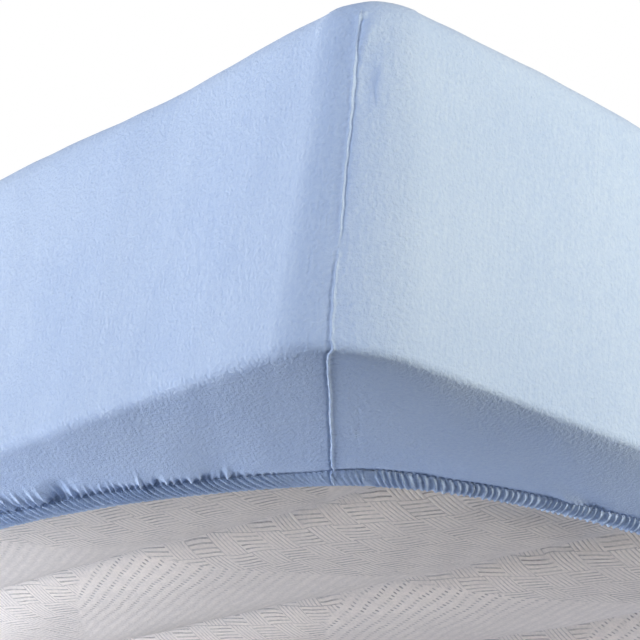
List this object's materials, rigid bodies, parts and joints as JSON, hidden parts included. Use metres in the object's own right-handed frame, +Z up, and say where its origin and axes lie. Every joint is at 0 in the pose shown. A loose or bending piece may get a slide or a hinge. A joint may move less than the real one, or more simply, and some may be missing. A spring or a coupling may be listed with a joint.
{
  "type": "fitted sheet on a mattress",
  "caption": "Single mattress in a stretched fitted sheet with corner seams, its gathered elastic hem tucked under the edges.",
  "frame": {"origin": "under the middle of the bed, level with the underside of the sheet's hem", "axes": "+X across the mattress's width, +Y along its length with the foot end at -Y, +Z up"},
  "size_m": [0.9088, 2.0088, 0.2088],
  "materials": {
    "sheet_cloth": "light blue brushed cotton jersey, matt",
    "ticking": "beige-grey knitted jacquard ticking, matt"
  },
  "bodies": {
    "root": {"fitted_sheet": "sheet_cloth", "mattress": "ticking"}
  },
  "joints": []
}
